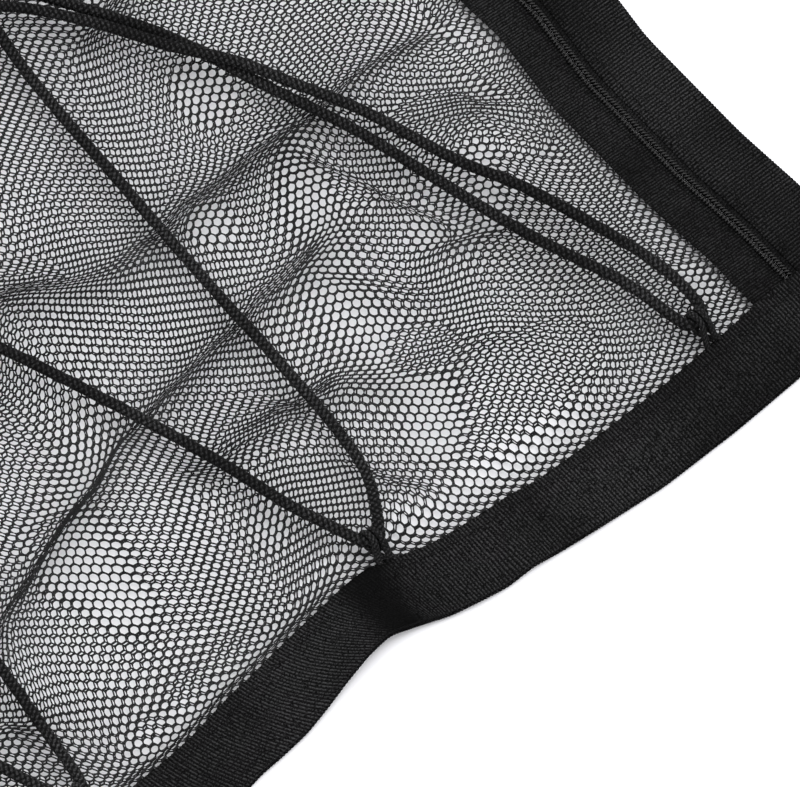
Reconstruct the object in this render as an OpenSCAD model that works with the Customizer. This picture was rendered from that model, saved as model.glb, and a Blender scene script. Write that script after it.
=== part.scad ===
// Ceiling storage net: two hexagonal mesh panels bound in webbing form a flat
// pocket with a coil zip at each short side, laced across with elastic cord
// and hung from four buckled corner straps. It lies flat on its back face.
// +X runs along the long edges, +Y along the zips, +Z up out of the front face.
// The origin is the centre of the back face. The whole net is unchanged by a
// half turn about Z, so each left piece is a right piece turned by 180 degrees.

/* [Panels] */
// Length of the bound net along X
panel_l = 800; // [780:10:860]
// Width of the bound net along Y
panel_w = 550; // [540:5:580]
// Thickness of one mesh layer
mesh_t = 0.6; // [0.5:0.1:0.7]
// Free height of the pocket between the two mesh layers
pocket_h = 5.2; // [5:0.1:5.6]
// Distance between the centres of neighbouring gaps in the nets
gap_pitch = 47; // [46:1:56]
// Width of net left between neighbouring gaps
strand_w = 12; // [8:1:16]
// Width of the slope that lifts the front net off its margin
slope_w = 22; // [20:1:26]

/* [Binding] */
// Width of the webbing along the long edges
edge_band_w = 26; // [25:0.5:27]
// Width of the back webbing along the short sides
side_back_band_w = 20; // [16:1:22]
// Webbing thickness
band_t = 1.2; // [1.1:0.1:1.3]

/* [Zips] */
// Distance from a short side's outer edge to the middle of its zip
zip_inset = 24.2; // [24:0.1:25]
// Width of the closed zip chain
chain_w = 4.6; // [4.4:0.1:4.8]
// Height of the zip coil over its tape
coil_h = 1.4; // [1.2:0.1:1.4]
// Width of one zip tape, from the middle of the chain
tape_w = 14.5; // [13:0.5:15]
// Zip tape thickness
tape_t = 0.5; // [0.4:0.1:0.5]
// Length of a zip slider
slider_l = 9; // [8:0.5:10]
// Length of a zip pull, from its pivot to its tip
pull_l = 24; // [20:1:28]

/* [Lacing] */
// Diameter of the elastic lacing cord
cord_d = 4; // [3.6:0.1:4]
// Diameter of the cord that the anchor loops are made of
loop_cord_d = 2.2; // [2:0.1:2.2]
// Number of anchor loops on each long edge
anchors = 6; // [6:1:6]
// Distance from the zip tape to the first anchor loop
anchor_first = 18; // [17:0.5:19]
// Distance between neighbouring anchor loops
anchor_pitch = 126.5; // [126:0.5:130]

/* [Cord locks] */
// Barrel length along X
barrel_l = 24; // [24:1:26]
// Barrel width along Y
barrel_w = 13; // [13:0.5:14]
// Wall thickness of the barrel
barrel_wall = 1.3; // [1.2:0.1:1.4]

/* [Corner straps] */
// Width of the strap webbing
strap_w = 25; // [24:0.5:25]
// Width of a buckle
buckle_w = 34; // [33:0.5:36]
// Thickness of a buckle
buckle_t = 9; // [9:0.5:10]
// Length of the webbing loop that goes round a handle
handle_loop_l = 110; // [90:5:140]

/* [Hidden] */
$fn = 24;

// Colours
webbing_black = [0.09, 0.09, 0.09];
mesh_black = [0.12, 0.12, 0.12];
cord_black = [0.05, 0.05, 0.05];
tape_black = [0.10, 0.10, 0.11];
coil_black = [0.07, 0.07, 0.07];
metal_black = [0.16, 0.16, 0.17];
plastic_black = [0.13, 0.13, 0.14];
steel = [0.6, 0.6, 0.62];

half_l = panel_l / 2;
half_w = panel_w / 2;

// Heights of the layers, from the resting face up
back_mesh_z = band_t;
pocket_z = back_mesh_z + mesh_t;
tape_z = 3.1;
coil_z = tape_z + tape_t;
side_band_z = coil_z;
edge_band_z = tape_z;
raised_band_z = coil_z + coil_h + 0.1;
front_mesh_z = pocket_z + pocket_h;
front_mesh_top = front_mesh_z + mesh_t;

// Plan positions
band_edge_y = half_w - edge_band_w;
chain_x = half_l - zip_inset;
tape_edge_x = chain_x - tape_w;
tape_seam_w = 6;
side_hem_w = 14;
margin_w = 12;
tuck = 13;

// Zip
chain_gap = 1.1;
slider_wall = 0.7;
slider_play = 0.3;
slider_w = chain_w + 2 * (slider_play + slider_wall);
side_band_edge_x = chain_x + slider_w / 2 + slider_play;
coil_top_y = band_edge_y - 8;
stop_l = 3;
slider_y = coil_top_y - slider_l / 2 - 0.4;
plate_t = 0.9;
floor_t = 0.8;
floor_play = 0.25;
pin_r = 0.6;
pin_z = coil_z + coil_h + slider_play + plate_t + 1.4;
eye_r = 1.2;
ear_gap = 2.6;
ear_t = 0.8;
pull_w = 6;
pull_t = 1.2;

// Lacing
anchor_y = band_edge_y - 6.5;
turn_r = 4;
loop_play = 0.8;
anchor_z = tape_z + loop_cord_d + loop_play + cord_d / 2;
cord_z = front_mesh_top + cord_d / 2 + 0.1;
over_z = cord_z + cord_d + 0.1;
lock_x = 221;
lock_y = 56;
lock_z = 13.2;
strand_x = 2.15;
function anchor_x(k) = tape_edge_x - anchor_first - anchor_pitch * k;

// Cord lock
slot_h = cord_d + 0.4;
slot_half = cord_d + 0.4;
button_travel = 3.5;
barrel_h = 10.6;
button_play = 0.2;
barrel_back = slot_half - barrel_l + 4.6;
barrel_front = slot_half + 4.6;
button_back = -slot_half - 3.2;
button_cap_x = barrel_front + button_travel + 1;
spring_r = 3.2;

// Corner straps
strap_y = band_edge_y + edge_band_w / 2;
strap_inner_x = half_l - 30;
bar_z = buckle_t / 2;
bar_r = 1.6;
wrap_r = bar_r + 0.3 + band_t;
tab_bar_x = half_l + 41;
socket_x = tab_bar_x + 4;
socket_l = 29;
cavity_half = 13.2;
cavity_wall = 1.8;
plug_x = socket_x + socket_l + 0.5;
plug_base_l = 9.5;
prong_play = 0.3;
prong_reach = 22;
plug_bar_x = plug_x + plug_base_l + 6;
arm_w = 3.5;

// ---------- Helpers ----------

function unit(v) = v / norm(v);
function turned(points) = [for (p = points) [-p[0], -p[1], p[2]]];
function backwards(list) = [for (i = [len(list) - 1:-1:0]) list[i]];

// Direction of a path at its point i
function heading(path, i) =
    unit(path[min(i + 1, len(path) - 1)] - path[max(i - 1, 0)]);

// One ring of a tube round centre c, square to direction t
function tube_ring(c, t, side_ref, r, sides) =
    let (s = unit(cross(t, side_ref)), u = cross(s, t))
    [for (k = [0:sides - 1]) c + r * (cos(360 * k / sides) * s + sin(360 * k / sides) * u)];

// A tube along a path, with one radius for each point
module tube(path, radii, sides, side_ref) {
    n = len(path);
    points = [for (i = [0:n - 1])
        each tube_ring(path[i], heading(path, i), side_ref, radii[i], sides)];
    walls = [for (i = [0:n - 2], k = [0:sides - 1])
        let (a = i * sides + k, b = i * sides + (k + 1) % sides)
        each [[a, b, a + sides], [b, b + sides, a + sides]]];
    start_cap = [for (k = [1:sides - 2]) [0, k + 1, k]];
    last = (n - 1) * sides;
    end_cap = [for (k = [1:sides - 2]) [last, last + k, last + k + 1]];
    polyhedron(points, concat(walls, start_cap, end_cap));
}

// Points of an arc round (x, y) at height z
function arc_points(x, y, r, from, to, steps, z) =
    [for (i = [0:steps]) let (a = from + (to - from) * i / steps)
        [x + r * cos(a), y + r * sin(a), z]];

// Rectangle with round corners, centred
module rounded_rect(l, w, r) {
    square([l - 2 * r, w], center = true);
    square([l, w - 2 * r], center = true);
    for (x = [-1, 1], y = [-1, 1])
        translate([x * (l / 2 - r), y * (w / 2 - r)]) circle(r);
}

// A profile drawn in X and Z, made w wide along Y about y = 0
module along_y(w) {
    translate([0, w / 2, 0]) rotate([90, 0, 0]) linear_extrude(w) children();
}

// A profile drawn in Y and Z, made from x0 to x1 along X
module along_x(x0, x1) {
    translate([x0, 0, 0]) rotate([90, 0, 90]) linear_extrude(x1 - x0) children();
}

module half_turn() {
    rotate([0, 0, 180]) children();
}

// ---------- Mesh panels ----------

// A flat net with staggered columns of hexagonal gaps inside l by w
module net(l, w) {
    column_step = gap_pitch * cos(30);
    columns = floor((l - gap_pitch) / column_step / 2) * 2 + 1;
    rows = floor((w - gap_pitch) / gap_pitch);
    gap_r = (gap_pitch - strand_w) / 2 / cos(30);
    difference() {
        square([l, w], center = true);
        for (c = [0:columns - 1], r = [0:rows - 1]) {
            x = (c - (columns - 1) / 2) * column_step;
            y = (r - (rows - 1) / 2) * gap_pitch + (c % 2 == 0 ? 0.25 : -0.25) * gap_pitch;
            translate([x, y]) circle(r = gap_r, $fn = 6);
        }
    }
}

module back_mesh() {
    color(mesh_black) union() {
        translate([0, 0, back_mesh_z]) linear_extrude(mesh_t) difference() {
            square([panel_l, panel_w], center = true);
            square([net_l, net_w], center = true);
        }
        translate([0, 0, back_mesh_z]) linear_extrude(mesh_t) net(net_l, net_w);
        // The sides are hemmed up to the height of the zip tapes
        for (s = [-1, 1])
            translate([s * (half_l - side_hem_w / 2), 0, (back_mesh_z + tape_z) / 2])
                cube([side_hem_w, 2 * band_edge_y - 1, tape_z - back_mesh_z], center = true);
    }
}

net_l = 2 * (tape_edge_x - slope_w);
net_w = 2 * (band_edge_y - margin_w - slope_w);

// The front net stands off the back net: a sloped border joins it to its hems
module front_mesh() {
    low_x = tape_edge_x;
    low_y = band_edge_y - margin_w;
    low_z = tape_z - mesh_t;
    function corners(x, y, z) = [[-x, -y, z], [x, -y, z], [x, y, z], [-x, y, z]];
    function band(a, b) = [for (k = [0:3]) let (m = (k + 1) % 4)
        each [[a + k, b + k, b + m], [a + k, b + m, a + m]]];
    color(mesh_black) union() {
        translate([0, 0, front_mesh_z]) linear_extrude(mesh_t) net(net_l, net_w);
        polyhedron(
            concat(corners(low_x, low_y, low_z), corners(low_x, low_y, tape_z),
                corners(net_l / 2, net_w / 2, front_mesh_z),
                corners(net_l / 2, net_w / 2, front_mesh_top)),
            concat(band(0, 4), band(4, 12), band(12, 8), band(8, 0)));
        for (s = [-1, 1]) {
            translate([s * (low_x + tape_seam_w / 2), 0, tape_z - mesh_t / 2])
                cube([tape_seam_w, 2 * low_y, mesh_t], center = true);
            translate([0, s * (low_y + margin_w / 2), tape_z - mesh_t / 2])
                cube([2 * (low_x + tape_seam_w), margin_w, mesh_t], center = true);
            translate([0, s * (half_w - edge_band_w / 2), (pocket_z + tape_z) / 2])
                cube([2 * (low_x + tape_seam_w), edge_band_w, tape_z - pocket_z], center = true);
        }
    }
}

// ---------- Webbing ----------

module near_back_band() {
    color(webbing_black) translate([0, -strap_y, band_t / 2])
        cube([panel_l, edge_band_w, band_t], center = true);
}

module right_back_band() {
    color(webbing_black)
        translate([half_l - side_back_band_w / 2, 0, band_t / 2])
            cube([side_back_band_w, 2 * band_edge_y, band_t], center = true);
}

// The long front bands climb over the zip ends and side bands at the corners
module near_front_band() {
    flat_x = tape_edge_x - 10;
    high_x = tape_edge_x - 1;
    function side(z, h) = [[-half_l, h], [-high_x, h], [-flat_x, z],
        [flat_x, z], [high_x, h], [half_l, h]];
    color(webbing_black) translate([0, -strap_y, 0]) along_y(edge_band_w)
        polygon(concat(side(edge_band_z, raised_band_z),
            backwards(side(edge_band_z + band_t, raised_band_z + band_t))));
}

module right_front_band() {
    color(webbing_black)
        translate([(side_band_edge_x + half_l) / 2, 0, side_band_z + band_t / 2])
            cube([half_l - side_band_edge_x, panel_w, band_t], center = true);
}

// ---------- Zips ----------

module right_zip_inner_tape() {
    color(tape_black) translate([tape_edge_x, -band_edge_y - tuck, tape_z])
        cube([tape_w - chain_gap / 2, 2 * (band_edge_y + tuck), tape_t]);
}

module right_zip_outer_tape() {
    color(tape_black) translate([chain_x + chain_gap / 2, -band_edge_y - tuck, tape_z])
        cube([tape_w - chain_gap / 2, 2 * (band_edge_y + tuck), tape_t]);
}

// One half of the chain: a coil rounded on top, to side s of the middle
module zip_coil(s) {
    w = (chain_w - chain_gap) / 2;
    mid = s * (chain_gap + w) / 2;
    low = -band_edge_y - 6;
    color(coil_black) translate([chain_x + mid, (coil_top_y + low) / 2, coil_z])
        along_y(coil_top_y - low) intersection() {
            translate([-w / 2, 0]) square([w, coil_h]);
            hull() {
                translate([0, coil_h - w / 2]) circle(w / 2);
                circle(w / 2);
            }
        }
}

module right_zip_inner_coil() {
    zip_coil(-1);
}

module right_zip_outer_coil() {
    zip_coil(1);
}

// Two small top stops, one for each coil, and the bottom stop under the band
module right_zip_stops() {
    w = (chain_w - chain_gap) / 2;
    color(metal_black) union() {
        for (s = [-1, 1])
            translate([chain_x + s * (chain_gap + w) / 2, coil_top_y + 0.2 + stop_l / 2,
                coil_z + coil_h / 2]) cube([w, stop_l, coil_h], center = true);
        translate([chain_x, -band_edge_y - 6.2 - stop_l / 2, coil_z + coil_h / 2])
            cube([chain_w, stop_l, coil_h], center = true);
    }
}

// The slider's two plates are joined by a thin post between the tapes
module right_zip_slider() {
    top_z = coil_z + coil_h + slider_play;
    floor_z = tape_z - floor_play - floor_t;
    wall_z = coil_z + slider_play;
    color(metal_black) translate([chain_x, slider_y, 0]) union() {
        translate([0, 0, top_z]) linear_extrude(plate_t) rounded_rect(slider_w, slider_l, 1.5);
        translate([0, 0, floor_z]) linear_extrude(floor_t) rounded_rect(slider_w, slider_l, 1.5);
        translate([-0.25, -3, floor_z]) cube([0.5, 6, top_z - floor_z + 0.1]);
        for (s = [-1, 1]) {
            translate([s * (slider_w - slider_wall) / 2, 0, (wall_z + top_z + 0.1) / 2])
                cube([slider_wall, slider_l - 3, top_z + 0.1 - wall_z], center = true);
            translate([s * (ear_gap + ear_t) / 2, 0, (top_z + plate_t / 2 + pin_z) / 2])
                cube([ear_t, 2 * eye_r, pin_z - top_z - plate_t / 2], center = true);
            translate([s * (ear_gap + ear_t) / 2 - ear_t / 2, 0, pin_z])
                rotate([0, 90, 0]) cylinder(r = eye_r, h = ear_t);
        }
        translate([-ear_gap / 2 - ear_t / 2, 0, pin_z])
            rotate([0, 90, 0]) cylinder(r = pin_r, h = ear_gap + ear_t);
    }
}

// The pull hangs on the slider's pin and lies back along the closed chain
module right_zip_pull() {
    eye_w = ear_gap - 0.4;
    bore_r = pin_r + 0.08;
    color(metal_black) translate([chain_x, slider_y, pin_z]) difference() {
        union() {
            translate([-eye_w / 2, 0, 0]) rotate([0, 90, 0]) cylinder(r = eye_r, h = eye_w);
            translate([-eye_w / 2, -6, -pull_t / 2]) cube([eye_w, 6, pull_t]);
            translate([0, -(5 + pull_l) / 2, -pull_t / 2]) linear_extrude(pull_t)
                rounded_rect(pull_w, pull_l - 5, 2);
        }
        translate([-eye_w, 0, 0]) rotate([0, 90, 0]) cylinder(r = bore_r, h = 2 * eye_w);
        translate([0, -pull_l + 6, -pull_t]) linear_extrude(2 * pull_t) rounded_rect(2.4, 7, 1.1);
    }
}

// ---------- Lacing ----------

// One anchor loop: a teardrop of thin cord from the band's edge round the lacing
module anchor_loop(x) {
    ring_r = (cord_d + loop_cord_d) / 2 + loop_play;
    last = 143;
    angles = [-90, -45, 0, 45, 95, last];
    ring = [for (a = angles)
        [x + a / 150, -anchor_y + ring_r * cos(a), anchor_z + ring_r * sin(a)]];
    start = [x - 1.2, 0.2 - band_edge_y, anchor_z - ring_r];
    away = [0.15, -sin(last), cos(last)];
    reach = (band_edge_y - anchor_y + ring_r * cos(last) - 1.1) / sin(last);
    tail = ring[5] + reach * away;
    path = concat([start], ring, [tail, [tail[0], tail[1], start[2]]]);
    tube(path, [for (p = path) loop_cord_d / 2], 6, [1, 0, 0]);
}

module near_cord_loops() {
    color(cord_black) union()
        for (k = [0:anchors - 1]) anchor_loop(anchor_x(k));
}

// A leg drops from the net's height to the anchor's over the sloped border
leg_y = anchor_y - turn_r;
slope_y = leg_y - 21;

// Lacing round a near anchor, from the leg on its +X side to the one on its -X side
function near_turn(x) = concat(
    [[x + turn_r + 3, -slope_y, cord_z]],
    arc_points(x, -leg_y, turn_r, -10, -170, 4, anchor_z),
    [[x - turn_r - 9, -slope_y, cord_z]]);

// The same round a far anchor: a near anchor's turn, turned by 180 degrees
function far_turn(x) = backwards(turned(near_turn(-x)));

// From the knotted tail through the lock, round the first near anchor, back
// through the lock and on to the middle of the net
locked_half = concat(
    [[238, 128, 11.6], [235, 120, 11.8], [231, 112, 11.2], [227, 95, 11]],
    [[lock_x + strand_x, lock_y + 24, lock_z], [lock_x + strand_x, lock_y - 24, lock_z],
        [229, 17, 13.6], [249, -8, over_z], [264.5, -30.5, 12], [282.5, -60.5, 9.9]],
    [[293, -90, cord_z], [305.5, -124, cord_z], [313, -152.5, cord_z],
        [322.5, -187, cord_z], [334, -slope_y, cord_z]],
    backwards(arc_points(anchor_x(0) - 0.5, -leg_y, turn_r, -10, -170, 4, anchor_z)),
    [[346, -slope_y, cord_z], [333.5, -175, cord_z], [322.5, -152, cord_z],
        [311, -119.5, 10.5], [300, -98.5, 12.5], [291.5, -82.5, over_z], [280.5, -67, 14],
        [266.5, -43.5, 14], [254.5, -26.5, over_z], [239, -10, over_z], [223, 14, 13.6]],
    [[lock_x - strand_x, lock_y - 24, lock_z], [lock_x - strand_x, lock_y + 24, lock_z],
        [206, 110, 10.2]],
    far_turn(-anchor_x(4)),
    [[136, 30, cord_z], [130, 8, over_z], [126, -8, over_z], [119, -30, cord_z]],
    [[100, -199.5, cord_z]], near_turn(anchor_x(2)),
    [[12, -32, cord_z], [3, -8, over_z]]);
locked_bulge = [3.2, 4, 3.2];

// From a stopper knot at the first far anchor round the second near anchor and
// on to the middle of the net
knotted_half = concat(
    [[-anchor_x(5) + 12, anchor_y - 1, anchor_z], [-anchor_x(5) + 9, anchor_y, anchor_z],
        [-anchor_x(5) + 6, anchor_y, anchor_z], [-anchor_x(5) + 3, anchor_y, anchor_z],
        [-anchor_x(5) - 3, anchor_y, anchor_z], [-anchor_x(5) - 7, anchor_y - 4.5, anchor_z],
        [-anchor_x(5) - 9.5, slope_y, cord_z]],
    [[246, -8, cord_z], [240.5, -42.5, cord_z], [237.5, -93, cord_z], [235, -146, cord_z],
        [234.5, -166.5, cord_z], [230, -slope_y, cord_z]],
    arc_points(anchor_x(1), -leg_y, turn_r, -10, -170, 4, anchor_z),
    [[205, -slope_y, cord_z], [198, -187, cord_z], [180.5, -134, cord_z],
        [128, 0, cord_z]],
    far_turn(-anchor_x(3)),
    [[4, 26, cord_z]]);
knotted_bulge = [3, 3.8, 3];

// A cord's whole route and radii, from the half that is listed
module laced_cord(half, bulge) {
    path = concat(half, backwards(turned(half)));
    n = len(path);
    knots = len(bulge);
    radii = [for (i = [0:n - 1]) let (from_end = min(i, n - 1 - i))
        from_end < knots ? bulge[from_end] : cord_d / 2];
    color(cord_black) tube(path, radii, 8, [0, 0, 1]);
}

module locked_lacing_cord() {
    laced_cord(locked_half, locked_bulge);
}

module knotted_lacing_cord() {
    laced_cord(knotted_half, knotted_bulge);
}

// ---------- Cord locks ----------

module right_lock_barrel() {
    color(plastic_black) translate([lock_x, lock_y, lock_z]) difference() {
        along_x(barrel_back, barrel_front) rounded_rect(barrel_w, barrel_h, 3);
        along_x(barrel_back + barrel_wall, barrel_front + 1)
            rounded_rect(barrel_w - 2 * barrel_wall, barrel_h - 2 * barrel_wall, 1.8);
        cube([2 * slot_half, barrel_w + 2, slot_h], center = true);
    }
}

// The button's slot is longer than the barrel's, so that pressing it opens the lock
module right_lock_button() {
    w = barrel_w - 2 * (barrel_wall + button_play);
    h = barrel_h - 2 * (barrel_wall + button_play);
    color(plastic_black) translate([lock_x, lock_y, lock_z]) difference() {
        union() {
            along_x(button_back, button_cap_x + 1) rounded_rect(w, h, 1.6);
            along_x(button_cap_x, button_cap_x + 3) rounded_rect(barrel_w - 1, barrel_h - 1, 2.6);
        }
        translate([-slot_half, -barrel_w, -slot_h / 2])
            cube([2 * slot_half + button_travel + 0.1, 2 * barrel_w, slot_h]);
    }
}

module right_lock_spring() {
    color(steel) translate([lock_x, lock_y, lock_z])
        along_x(barrel_back + barrel_wall, button_back) difference() {
            circle(spring_r);
            circle(spring_r - 0.6);
        }
}

// ---------- Corner straps ----------

// Webbing from inside the corner out to the socket's bar and back under itself
module right_tab() {
    color(webbing_black) along_y(strap_w) union() {
        polygon([[strap_inner_x, pocket_z], [half_l + 3, pocket_z], [half_l + 14, bar_z],
            [tab_bar_x, bar_z + wrap_r - band_t], [tab_bar_x, bar_z + wrap_r],
            [half_l + 13, bar_z + band_t], [half_l + 2, pocket_z + band_t],
            [strap_inner_x, pocket_z + band_t]]);
        polygon([[half_l + 16, bar_z - 1.2], [tab_bar_x, bar_z - wrap_r],
            [tab_bar_x, bar_z - wrap_r + band_t], [half_l + 16, bar_z + 0.3]]);
        translate([tab_bar_x, bar_z]) difference() {
            circle(wrap_r);
            circle(wrap_r - band_t);
            translate([-2 * wrap_r, -wrap_r]) square(2 * wrap_r);
        }
    }
}

// Two arms and a bar for webbing, from x0 to the bar at x1
module bar_frame(x0, x1) {
    reach = x1 - x0;
    tip = sign(reach) * (bar_r + 0.4);
    for (s = [-1, 1])
        translate([(x0 + x1 + tip) / 2, s * (buckle_w - arm_w) / 2, bar_z])
            cube([abs(reach + tip), arm_w, 2 * bar_r + 1.6], center = true);
    translate([x1, buckle_w / 2 - 1, bar_z]) rotate([90, 0, 0]) cylinder(r = bar_r, h = buckle_w - 2);
}

module right_socket() {
    cavity_l = socket_l - 4;
    color(plastic_black) union() {
        difference() {
            translate([socket_x + socket_l / 2, 0, 0]) linear_extrude(buckle_t)
                rounded_rect(socket_l, buckle_w, 2.5);
            translate([socket_x + 4, -cavity_half, cavity_wall])
                cube([cavity_l + 1, 2 * cavity_half, buckle_t - 2 * cavity_wall]);
            // Windows at the sides show the plug's prongs
            translate([socket_x + 9, -buckle_w, cavity_wall])
                cube([12, 2 * buckle_w, buckle_t - 2 * cavity_wall]);
        }
        bar_frame(socket_x + 0.5, tab_bar_x);
    }
}

// Two prongs and a middle tongue that slide into the socket
module right_plug() {
    prong_t = buckle_t - 2 * (cavity_wall + prong_play);
    prong_y = cavity_half - prong_play;
    color(plastic_black) union() {
        translate([plug_x + plug_base_l / 2, 0, 0]) linear_extrude(buckle_t)
            rounded_rect(plug_base_l, buckle_w, 2.5);
        translate([0, 0, cavity_wall + prong_play]) linear_extrude(prong_t) union() {
            for (s = [-1, 1]) polygon([
                [plug_x + 1, s * (prong_y - 2.6)], [plug_x + 1, s * prong_y],
                [plug_x - prong_reach + 6, s * prong_y],
                [plug_x - prong_reach, s * (prong_y - 3)],
                [plug_x - prong_reach + 2, s * (prong_y - 4.6)],
                [plug_x - prong_reach + 9, s * (prong_y - 4.2)],
                [plug_x - prong_reach + 12, s * (prong_y - 2.2)]]);
            translate([plug_x - prong_reach + 3, -2]) square([prong_reach, 4]);
        }
        bar_frame(plug_x + plug_base_l - 0.5, plug_bar_x);
    }
}

// Webbing round the plug's bar, then open in a flat loop that lies on its side
module right_handle_loop() {
    near_x = plug_bar_x + 12;
    far_x = near_x + handle_loop_l;
    top = buckle_t;
    color(webbing_black) along_y(strap_w) difference() {
        union() {
            translate([plug_bar_x, bar_z]) circle(wrap_r);
            polygon([[plug_bar_x, bar_z - wrap_r], [near_x, 0], [far_x - 10, 0],
                [far_x - 3, 1.4], [far_x, bar_z], [far_x - 3, top - 1.4], [far_x - 10, top],
                [near_x, top], [plug_bar_x, bar_z + wrap_r]]);
        }
        translate([plug_bar_x, bar_z]) circle(wrap_r - band_t);
        polygon([[plug_bar_x + wrap_r, bar_z], [near_x + 1, band_t], [far_x - 10.5, band_t],
            [far_x - 4, 2.4], [far_x - band_t, bar_z], [far_x - 4, top - 2.4],
            [far_x - 10.5, top - band_t], [near_x + 1, top - band_t]]);
    }
}

// ---------- Nodes ----------

back_mesh();
front_mesh();
near_back_band();
half_turn() near_back_band();  // far_back_band
right_back_band();
half_turn() right_back_band();  // left_back_band
near_front_band();
half_turn() near_front_band();  // far_front_band
right_front_band();
half_turn() right_front_band();  // left_front_band
right_zip_inner_tape();
right_zip_outer_tape();
right_zip_inner_coil();
right_zip_outer_coil();
right_zip_stops();
right_zip_slider();
right_zip_pull();
half_turn() right_zip_inner_tape();  // left_zip_inner_tape
half_turn() right_zip_outer_tape();  // left_zip_outer_tape
half_turn() right_zip_inner_coil();  // left_zip_inner_coil
half_turn() right_zip_outer_coil();  // left_zip_outer_coil
half_turn() right_zip_stops();  // left_zip_stops
half_turn() right_zip_slider();  // left_zip_slider
half_turn() right_zip_pull();  // left_zip_pull
near_cord_loops();
half_turn() near_cord_loops();  // far_cord_loops
locked_lacing_cord();
knotted_lacing_cord();
right_lock_barrel();
right_lock_button();
right_lock_spring();
half_turn() right_lock_barrel();  // left_lock_barrel
half_turn() right_lock_button();  // left_lock_button
half_turn() right_lock_spring();  // left_lock_spring
translate([0, -strap_y, 0]) right_tab();  // near_right_tab
translate([0, strap_y, 0]) right_tab();  // far_right_tab
half_turn() translate([0, strap_y, 0]) right_tab();  // near_left_tab
half_turn() translate([0, -strap_y, 0]) right_tab();  // far_left_tab
translate([0, -strap_y, 0]) right_socket();  // near_right_socket
translate([0, strap_y, 0]) right_socket();  // far_right_socket
half_turn() translate([0, strap_y, 0]) right_socket();  // near_left_socket
half_turn() translate([0, -strap_y, 0]) right_socket();  // far_left_socket
translate([0, -strap_y, 0]) right_plug();  // near_right_plug
translate([0, strap_y, 0]) right_plug();  // far_right_plug
half_turn() translate([0, strap_y, 0]) right_plug();  // near_left_plug
half_turn() translate([0, -strap_y, 0]) right_plug();  // far_left_plug
translate([0, -strap_y, 0]) right_handle_loop();  // near_right_handle_loop
translate([0, strap_y, 0]) right_handle_loop();  // far_right_handle_loop
half_turn() translate([0, strap_y, 0]) right_handle_loop();  // near_left_handle_loop
half_turn() translate([0, -strap_y, 0]) right_handle_loop();  // far_left_handle_loop
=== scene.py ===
"""A ceiling storage net: two hexagonal mesh layers bound in ribbed webbing, with a coil
zip at each short side, elastic cord lacing and buckled corner straps. Points are worked
out in millimetres, in the CAD frame, and piece() turns them into metres."""
import math

import bpy
import numpy as np
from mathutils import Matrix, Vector


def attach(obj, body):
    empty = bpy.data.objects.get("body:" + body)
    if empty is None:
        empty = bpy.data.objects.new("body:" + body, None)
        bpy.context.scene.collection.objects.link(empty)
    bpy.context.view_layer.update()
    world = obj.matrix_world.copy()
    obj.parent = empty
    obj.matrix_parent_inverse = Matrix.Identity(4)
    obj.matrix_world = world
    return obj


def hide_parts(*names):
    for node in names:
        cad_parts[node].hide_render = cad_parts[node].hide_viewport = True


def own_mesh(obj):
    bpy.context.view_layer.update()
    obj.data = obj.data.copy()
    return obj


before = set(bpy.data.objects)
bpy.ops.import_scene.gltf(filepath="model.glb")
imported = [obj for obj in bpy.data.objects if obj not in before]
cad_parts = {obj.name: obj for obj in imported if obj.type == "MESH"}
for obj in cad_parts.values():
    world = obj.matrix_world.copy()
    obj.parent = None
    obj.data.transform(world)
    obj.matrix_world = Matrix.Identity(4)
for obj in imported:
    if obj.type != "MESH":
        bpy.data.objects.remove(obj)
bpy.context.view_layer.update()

MM = 0.001
scene = bpy.context.scene
EDGES = {"near": 1, "far": -1}
SIDES = {"right": 1, "left": -1}
# Each corner's side along X, and along Y
CORNERS = {"near_right": (1, -1), "far_right": (1, 1), "near_left": (-1, -1), "far_left": (-1, 1)}

# ---------- Camera, light and floor ----------

# The view looks down at the near right corner, 28 degrees off the vertical
LOOK_AT = (257.7, -201.0, 3.5)
VIEW_TILT = math.radians(28.1)
VIEW_TURN = math.radians(-40.45)  # the way from +X to the picture's right side
VIEW_DISTANCE = 6000.0
VIEW_WIDTH = 247.7  # what the picture takes in, at the point looked at
SENSOR_WIDTH = 36.0
SKY_POWER = 1.44
KEY_PLACE, KEY_SIZE, KEY_POWER = (0.5, -0.3, 1.9), 1.5, 19  # in m and W
FLOOR_SIZE, FLOOR_Z, FLOOR_CELLS = 9000, -0.15, 40


def make_camera():
    right = np.array([math.cos(VIEW_TURN), math.sin(VIEW_TURN), 0.0])
    ahead = np.array([-right[1], right[0], 0.0])
    forward = ahead * math.sin(VIEW_TILT) - np.array([0, 0, math.cos(VIEW_TILT)])
    data = bpy.data.cameras.new("camera")
    data.sensor_width = SENSOR_WIDTH
    data.lens = SENSOR_WIDTH * VIEW_DISTANCE / VIEW_WIDTH
    data.clip_end = 50.0
    camera = bpy.data.objects.new("camera", data)
    scene.collection.objects.link(camera)
    camera.location = Vector((np.array(LOOK_AT) - forward * VIEW_DISTANCE) * MM)
    camera.rotation_mode = "QUATERNION"
    camera.rotation_quaternion = Vector(forward).to_track_quat("-Z", "Y")
    scene.camera = camera


def area_light(name, place, size, power):
    data = bpy.data.lights.new(name, "AREA")
    data.shape, data.size, data.energy = "DISK", size, power
    light = bpy.data.objects.new(name, data)
    scene.collection.objects.link(light)
    light.location = place
    light.rotation_mode = "QUATERNION"
    light.rotation_quaternion = (Vector(LOOK_AT) * MM - Vector(place)).to_track_quat("-Z", "Y")


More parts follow.
